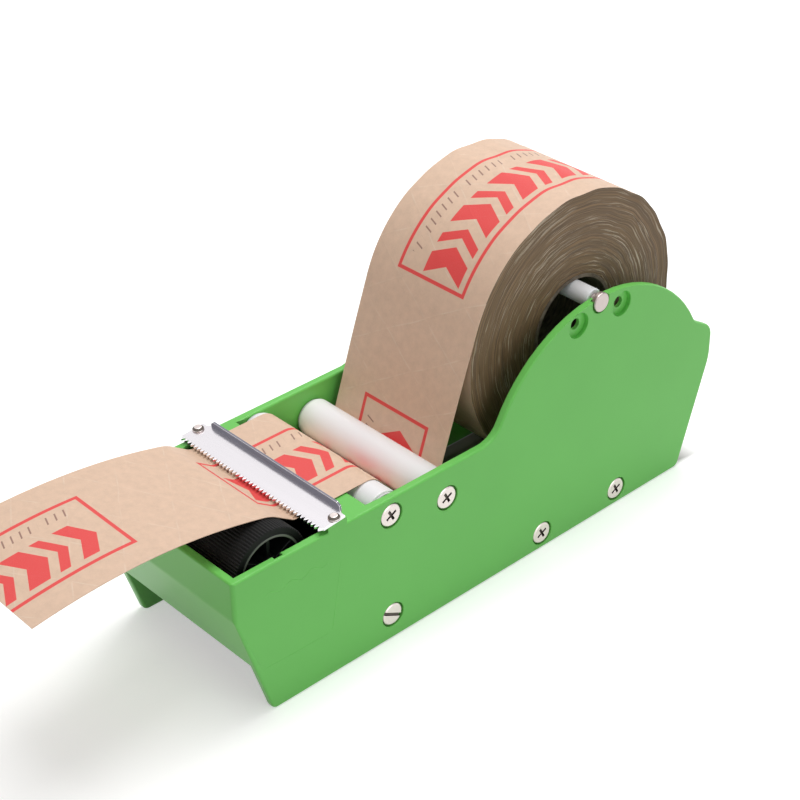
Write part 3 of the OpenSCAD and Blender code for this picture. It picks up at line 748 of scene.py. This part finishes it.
wall_holes = [middle(n) for n in ("front_roller_shaft", "rear_roller_shaft", "front_tie_rod",
                                  "middle_tie_rod", "rear_tie_rod", "spindle_pin")]
wall_holes += [SPINDLE + Vector((side * SPARE_PITCH / 2, -SPARE_DROP)) for side in (-1, 1)]
inner_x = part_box("front_tie_rod")[1].x
seat_y = middle("blade_screws")[0]
deck_z = FRONT_ROLLER[1] + ROLLER_R - ROLLER_RISE
axle_r = radius("wheel_axle")


def on_hole(ends):
    """True for an edge of a round hole or recess: both its ends lie as far from the hole's middle."""
    for hole in wall_holes:
        far = [(Vector((end.y, end.z)) - hole).length for end in ends]
        if max(far) < RECESS_REACH and abs(far[0] - far[1]) < TOUCH:
            return True
    return False


def small_feature(ends):
    """True for an edge of a hole, notch, slot, blade seat, tank ledge or the bridge."""
    if on_hole(ends):
        return True
    if abs(ends[0].x - ends[1].x) > TOUCH:
        return all(end.y > front_y + FRONT_DEPTH for end in ends) or abs(ends[0].x - ends[1].x) < SHORT_SIDE
    if all(min(abs(abs(end.x) - x) for x in (inner_x, outer_x)) > TOUCH for end in ends):
        return True
    if all(abs(end.y - SPINDLE[0]) < NOTCH_HALF for end in ends):
        return True
    if all(abs(end.y - WHEEL[0]) < SLOT_HALF and end.z > WHEEL[1] - 2 * axle_r for end in ends):
        return abs(ends[0].x) < inner_x + TOUCH
    return all(abs(end.y - seat_y) < SEAT_REACH and end.z > deck_z - TOUCH for end in ends)


def on_toe(end):
    """True on the inner side of a toe, which is very narrow where it starts at the front panel."""
    return abs(end.x) < inner_x + TOUCH and end.y < front_y + FRONT_DEPTH and end.z < deck_z - TOE_DROP


def shell_width(edge):
    """Wide rounding on the rims and long corners, narrow on the small features.
    The outer rim gets narrower towards the spare holes, which nearly touch it."""
    ends = [v.co for v in edge.verts]
    if small_feature(ends) or all(on_toe(end) for end in ends):
        return SMALL_EDGE
    if all(abs(end.x) > outer_x - TOUCH for end in ends):
        if all(end.y < front_y + FRONT_DEPTH for end in ends):
            return FRONT_CORNER if abs(ends[0].z - ends[1].z) > TOUCH else RIM
        if min(end.z for end in ends) > deck_z:
            away = abs((ends[0].y + ends[1].y) / 2 - SPINDLE[0]) - NARROW_REACH
            return min(RIM, max(NARROW_RIM, NARROW_RIM + RIM_GROWTH * away))
    return RIM


def spaced(depths, least):
    """The depths in order, without those that lie closer than the least spacing to the one before."""
    kept = []
    for depth in sorted(depths):
        if not kept or depth - kept[-1] > least:
            kept.append(depth)
    return kept


bridge_y = FRONT_ROLLER[0] - ROLLER_R - BRIDGE_LEAD
wall_cuts = spaced([hole[0] for hole in wall_holes] + [WHEEL[0], seat_y, bridge_y], CUT_SPACING)
dressed("body_shell", RIM, GREEN, 4, shell_width, cuts=wall_cuts)


# ---------------------------------------------------------------- small rigid pieces

FACE_DEPTH = 0.35 * MM
FOLD_DEPTH = 1.5 * MM
HUB_WALL = 1.8 * MM
SCREW_TOP = 0.85          # least upward part of the normal on a blade screw's top
END_FACE = 0.9            # least sideways part of the normal on the hub's ends
OUTSIDE_SHARE = 0.9       # of the radius, past which an edge is on the outside
BORE_EDGE = 0.3 * MM

fold_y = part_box("cutter_blade")[1].y - FOLD_DEPTH
hub_r = radius("wheel_hub")


def screw_painted_shade(node):
    """Bright outer faces, and darker steel as painted shade in the cross, in the slot and down the sides."""
    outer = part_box(node)[1].x

    def finish(face):
        return 0 if min(abs(v.co.x) for v in face.verts) > outer - 2 * FACE_DEPTH else 1
    return finish


def blade_fold_painted_shade(face):
    """The upright fold along the back of the blade is darker steel, as painted shade."""
    return 1 if face.calc_center_median().y > fold_y else 0


def blade_screw_painted_shade(face):
    """Bright tops inside sloping edges that are darkened as painted shade."""
    return 0 if face.normal.z > SCREW_TOP else 1


def hub_painted_highlight(face):
    """The ring at each end of the hub, next to the tread, is grey as a painted highlight."""
    nearest = min((Vector((v.co.y, v.co.z)) - WHEEL).length for v in face.verts)
    return 1 if abs(face.normal.x) > END_FACE and nearest > hub_r - HUB_WALL - TOUCH else 0


def turned(node, width, finish, segments=2):
    """A dressed round piece. Its bore, if it has one, is rounded less than its outside."""
    centre = middle(node)
    wide = radius(node) * OUTSIDE_SHARE

    def width_of(edge):
        far = min((Vector((v.co.y, v.co.z)) - centre).length for v in edge.verts)
        return width if far > wide else min(width, BORE_EDGE)
    dressed(node, width, finish, segments, width_of, cuts=[centre[0]])


dressed("water_tank", 0.3 * MM, BLACK)
dressed("wheel_hub", 0.4 * MM, (HUB, HUB_RIM_PAINTED_HIGHLIGHT), finish_of=hub_painted_highlight, cuts=[WHEEL[0]])
dressed("wheel_tread", 0.15 * MM, RUBBER, 1)
turned("wheel_axle", 0.4 * MM, STEEL)
dressed("cutter_blade", 0.12 * MM, (BLADE, FOLD_PAINTED_SHADE_STEEL), 1, finish_of=blade_fold_painted_shade)
dressed("blade_screws", 0.2 * MM, (NICKEL, RECESS_PAINTED_SHADE_STEEL), finish_of=blade_screw_painted_shade)
for end in ("front", "rear"):
    turned(end + "_roller", 0.9 * MM, WHITE, 4)
    turned(end + "_roller_bushes", 0.3 * MM, BUSH)
    turned(end + "_roller_shaft", 0.4 * MM, STEEL)
for screws in ("front_tie_screws", "rear_tie_screws", "roller_screws"):
    dressed(screws, 0.2 * MM, (NICKEL, RECESS_PAINTED_SHADE_STEEL), finish_of=screw_painted_shade(screws))
for place in ("front", "middle", "rear"):
    turned(place + "_tie_rod", 0.4 * MM, STEEL)
turned("spindle_pin", 0.2 * MM, NICKEL)
turned("spindle_heads", 0.4 * MM, HEAD_STEEL, 3)
turned("spindle_sleeve", 0.6 * MM, SLEEVE, 3)
turned("roll_core", 0.3 * MM, BOARD)


# ---------------------------------------------------------------- tape

CELLS_ACROSS = 38
CELL_LENGTH = 1.0 * MM
TAPE_SHARP = math.radians(60)
FREE_LENGTH = 112 * MM
DROOP = 1.6 * MM
WAVE = 0.5 * MM
WAVE_ACROSS = 30 * MM
WAVE_ALONG = 50 * MM
MERGE_BEFORE = 34 * MM
MERGE_AFTER = 14 * MM
MERGE_SINK = 0.05 * MM
END_TRIM = 0.3 * MM


def tape_sheet(name, start, end, body, warp):
    """A stretch of tape between two lengths from the free end."""
    bm = bmesh.new()
    cells_along = max(2, round((end - start) / CELL_LENGTH))
    bmesh.ops.create_grid(bm, x_segments=CELLS_ACROSS, y_segments=cells_along, size=0.5)
    uv = bm.loops.layers.uv.new("tape")
    for face in bm.faces:
        for loop in face.loops:
            co = loop.vert.co
            loop[uv].uv = ((co.x + 0.5) * tape_width, start + (co.y + 0.5) * (end - start))
    for vert in bm.verts:
        across_at = (vert.co.x + 0.5) * tape_width
        along_at = start + (vert.co.y + 0.5) * (end - start)
        spot, up = on_route(along_at)
        place = spot + up * warp(across_at, along_at)
        vert.co = (tape_left + across_at, place[0], place[1])
    bmesh.ops.recalc_face_normals(bm, faces=bm.faces)
    piece = new_piece(name, bm, PAPER, body, "tape_paper")
    thick = piece.modifiers.new("thickness", "SOLIDIFY")
    thick.thickness = TAPE_T
    thick.offset = 0
    return settle(piece, TAPE_SHARP)


def strip_warp(across, along):
    """Small waves of the free paper and the droop of its cut end's right corner."""
    free = max(0.0, 1 - along / FREE_LENGTH)
    side = across / tape_width
    droop = DROOP * free ** 2 * side ** 2
    wave = WAVE * free * noise.noise(Vector((across / WAVE_ACROSS, along / WAVE_ALONG, 2.0)))
    return -wave - droop


def smooth_step(value, low, high):
    share = min(1.0, max(0.0, (value - low) / (high - low)))
    return share * share * (3 - 2 * share)


def web_warp(across, along):
    """The web closes up to the wound layers at its top, and ends just under their surface."""
    sink = TAPE_GAP + TAPE_T + MERGE_SINK
    return -sink * smooth_step(along, AT_ROLL - MERGE_BEFORE, AT_ROLL + MERGE_AFTER)


strip = tape_sheet("tape_strip_printed", END_TRIM, AT_ROLLER, "frame", strip_warp)
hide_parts("tape_strip")
web = tape_sheet("tape_web_printed", AT_ROLLER, AT_ROLL + MERGE_AFTER, None, web_warp)
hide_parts("tape_web")
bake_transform(web)


# ---------------------------------------------------------------- wound roll

RING_PITCH = 0.9 * MM
RING_STEPS = 288
FLATS = 0.9 * MM
CORE_GAP = 0.02 * MM
LAYER_STEP = 0.35 * MM
LAYER_ROUGH = 0.35 * MM
OUTER_DEPTH = 0.3 * MM
EDGE_MARGIN = 0.5 * MM
WOUND_SHARP = math.radians(50)


def wound_wave(angle, share):
    """How far the winding sinks below a true circle. The outer layers lie in flats."""
    uneven = math.sin(23 * angle + 2.1 + 2.0 * math.sin(angle))
    flats = 0.5 + 0.28 * math.sin(13 * angle + 0.8) + 0.22 * uneven
    from_web = abs((angle - OFF_ROLL + math.pi) % (2 * math.pi) - math.pi)
    off_web = smooth_step(from_web, MERGE_BEFORE / ROLL_R, 2 * MERGE_BEFORE / ROLL_R)
    return FLATS * flats * share ** 2 * off_web


def roll_piece():
    """The wound roll: rings of layers that stand a little proud of each other on both sides."""
    draw = random.Random(7)
    inner = CORE_R + CORE_GAP
    rings = round((ROLL_R - inner) / RING_PITCH)
    radii = [inner + (ROLL_R - inner) * i / rings for i in range(rings + 1)]
    left_steps = [draw.uniform(0.0, LAYER_STEP) for _ in radii]
    right_steps = [draw.uniform(0.0, LAYER_STEP) for _ in radii]
    left_steps[-1] = right_steps[-1] = 0.0
    profile = [Vector((roll_low.x + s, 0, r)) for r, s in zip(radii, left_steps)]
    profile += [Vector((roll_high.x - s, 0, r)) for r, s in zip(reversed(radii), reversed(right_steps))]
    bm = bmesh.new()
    verts = [bm.verts.new(p) for p in profile]
    edges = [bm.edges.new((a, b)) for a, b in zip(verts, verts[1:] + verts[:1])]
    bmesh.ops.spin(bm, geom=verts + edges, cent=(0, 0, 0), axis=(1, 0, 0), dvec=(0, 0, 0),
                   angle=2 * math.pi, steps=RING_STEPS, use_merge=True, use_duplicate=False)
    bmesh.ops.remove_doubles(bm, verts=bm.verts, dist=WELD)
    bmesh.ops.recalc_face_normals(bm, faces=bm.faces)
    tape_uv = bm.loops.layers.uv.new("tape")
    layer_uv = bm.loops.layers.uv.new("layers")
    edge_x = (roll_low.x + EDGE_MARGIN, roll_high.x - EDGE_MARGIN)
    for face in bm.faces:
        centre = face.calc_center_median()
        far_out = math.hypot(centre.y, centre.z) > ROLL_R - OUTER_DEPTH
        face.material_index = 0 if far_out and edge_x[0] < centre.x < edge_x[1] else 1
        face_turn = (OFF_ROLL - math.atan2(centre.z, centre.y)) % (2 * math.pi)
        for loop in face.loops:
            co = loop.vert.co
            turn = OFF_ROLL - math.atan2(co.z, co.y)
            turn += 2 * math.pi * round((face_turn - turn) / (2 * math.pi))
            loop[tape_uv].uv = (co.x - tape_left, AT_ROLL + turn * ROLL_R)
            loop[layer_uv].uv = (turn, math.hypot(co.y, co.z))
    for vert in bm.verts:
        r = math.hypot(vert.co.y, vert.co.z)
        angle = math.atan2(vert.co.z, vert.co.y)
        share = (r - inner) / (ROLL_R - inner)
        rough = LAYER_ROUGH * share * (1 - share ** 8) * noise.noise(
            Vector((math.cos(angle) * 3, math.sin(angle) * 3, r / MM * 0.35)))
        new_r = min(ROLL_R, r - wound_wave(angle, share) + rough)
        vert.co.y, vert.co.z = ROLL[0] + new_r * math.cos(angle), ROLL[1] + new_r * math.sin(angle)
    return new_piece("wound_tape", bm, (PAPER, WOUND), "roll", "roll_paper", "tape_roll")


settle(roll_piece(), WOUND_SHARP)


# ---------------------------------------------------------------- raised outline on the side wall

RIDGE_R = 0.3 * MM
RIDGE_PROUD = 0.12 * MM
WATER_START, WATER_END = 17, 54
WATER_LEVEL = 65
WATER_WAVE = 1.3
WATER_PITCH = 12


def side_ridge(name, points):
    """A thin raised line on the right wall. Its points are depths from the front and heights, in mm."""
    curve = bpy.data.curves.new(name, "CURVE")
    curve.dimensions = "3D"
    curve.bevel_depth = RIDGE_R
    curve.bevel_resolution = 2
    curve.use_fill_caps = True
    spline = curve.splines.new("POLY")
    spline.points.add(len(points) - 1)
    for point, (y, z) in zip(spline.points, points):
        point.co = (outer_x + RIDGE_PROUD - RIDGE_R, front_y + y * MM, z * MM, 1)
    maker = bpy.data.objects.new(name + "_line", curve)
    bpy.context.scene.collection.objects.link(maker)
    mesh = bpy.data.meshes.new_from_object(maker.evaluated_get(bpy.context.evaluated_depsgraph_get()))
    bpy.data.objects.remove(maker)
    bm = bmesh.new()
    bm.from_mesh(mesh)
    bpy.data.meshes.remove(mesh)
    bmesh.ops.remove_doubles(bm, verts=bm.verts, dist=WELD)
    settle(new_piece(name, bm, GREEN, "frame", "body_green"))


side_ridge("tank_mark_floor", [(14.9, 25.9), (52, 25)])
side_ridge("tank_mark_front", [(5.3, 48.2), (12.7, 27.8)])
side_ridge("tank_mark_back", [(54, 26), (60.5, 61.2)])
side_ridge("tank_mark_water", [
    (y, WATER_LEVEL + WATER_WAVE * math.sin((y - WATER_START) * 2 * math.pi / WATER_PITCH))
    for y in range(WATER_START, WATER_END)])


# ---------------------------------------------------------------- floor and light

FLOOR_SIZE = 12.0
FLOOR_DROP = 0.05 * MM
PALE_FLOOR = (0.86, 0.86, 0.86)
# Colour of the painted shadow on the floor between the walls.
UNDER_BODY_PAINTED_SHADOW = (0.22, 0.22, 0.2)
SHADE_START = 62 * MM
SHADE_EDGE = 20 * MM
FLOOR_GLOW = 0.46
LIT_REACH = 0.7
FAR_REACH = 2.4
WORLD_LIGHT = 0.24
AIM = Vector((0, 0.02, 0.08))


def background_rays(n):
    """One for the rays that show the background: straight, mirrored or through something clear."""
    rays = n.add("ShaderNodeLightPath").outputs
    indirect = n.math("MAXIMUM", rays["Is Glossy Ray"], rays["Is Transmission Ray"])
    return n.math("MAXIMUM", rays["Is Camera Ray"], indirect)


def make_floor():
    """A pale floor that glows white for the background rays. Between the walls a painted shadow darkens it,
    and it has no glow there."""
    bm = bmesh.new()
    bmesh.ops.create_grid(bm, x_segments=1, y_segments=1, size=FLOOR_SIZE / 2)
    mesh = bpy.data.meshes.new("floor")
    bm.to_mesh(mesh)
    bm.free()
    floor = bpy.data.objects.new("floor", mesh)
    floor.location.z = -FLOOR_DROP
    bpy.context.scene.collection.objects.link(floor)
    made, n, shader = material("pale floor")
    spot = n.add("ShaderNodeSeparateXYZ", {"Vector": object_place(n)}).outputs
    beside = n.ramp(n.math("ABSOLUTE", spot["X"]), inner_x, outer_x)
    shade_front = front_y + SHADE_START
    shade_half = (shell_high.y - shade_front) / 2
    depth = n.math("ABSOLUTE", n.math("SUBTRACT", spot["Y"], (shade_front + shell_high.y) / 2))
    # clear is 0 inside the painted shadow between the walls and 1 outside it.
    clear = n.math("MAXIMUM", beside, n.ramp(depth, shade_half - SHADE_EDGE, shade_half))
    n.put(shader["Base Color"], n.mix(clear, UNDER_BODY_PAINTED_SHADOW, PALE_FLOOR))
    n.put(shader["Roughness"], 0.9)
    n.put(shader["Specular IOR Level"], 0.0)
    far = n.math("SQRT", n.math("ADD", n.math("MULTIPLY", spot["X"], spot["X"]),
                                n.math("MULTIPLY", spot["Y"], spot["Y"])))
    glow = n.math("MULTIPLY", clear, n.ramp(far, LIT_REACH, FAR_REACH, FLOOR_GLOW, 1.0))
    n.put(shader["Emission Color"], (1, 1, 1))
    n.put(shader["Emission Strength"], n.math("MULTIPLY", background_rays(n), glow))
    mesh.materials.append(made)


def make_world():
    """A white background over a dim, even light."""
    world = bpy.data.worlds.new("studio")
    bpy.context.scene.world = world
    world.use_nodes = True
    world.node_tree.nodes.clear()
    n = Nodes(world.node_tree)
    strength = n.ramp(background_rays(n), 0, 1, WORLD_LIGHT, 1.0)
    back = n.add("ShaderNodeBackground", {"Color": (1, 1, 1), "Strength": strength})
    output = n.add("ShaderNodeOutputWorld")
    n.put(output.inputs["Surface"], back.outputs["Background"])


def soft_box(name, place, size, power):
    """A square area light that faces the object."""
    data = bpy.data.lights.new(name, "AREA")
    data.shape = "SQUARE"
    data.size = size
    data.energy = power
    light = bpy.data.objects.new(name, data)
    light.location = place
    aim = AIM - Vector(place)
    light.rotation_mode = "QUATERNION"
    light.rotation_quaternion = aim.to_track_quat("-Z", "Y")
    bpy.context.scene.collection.objects.link(light)


make_floor()
make_world()
soft_box("back_box", (-0.35, 0.92, 1.75), 1.0, 13)
soft_box("top_box", (-0.1, 0, 1.9), 1.0, 15)
soft_box("side_box", (1.7, 0.1, 0.75), 1.3, 6.9)
bpy.context.scene.view_settings.view_transform = "Standard"
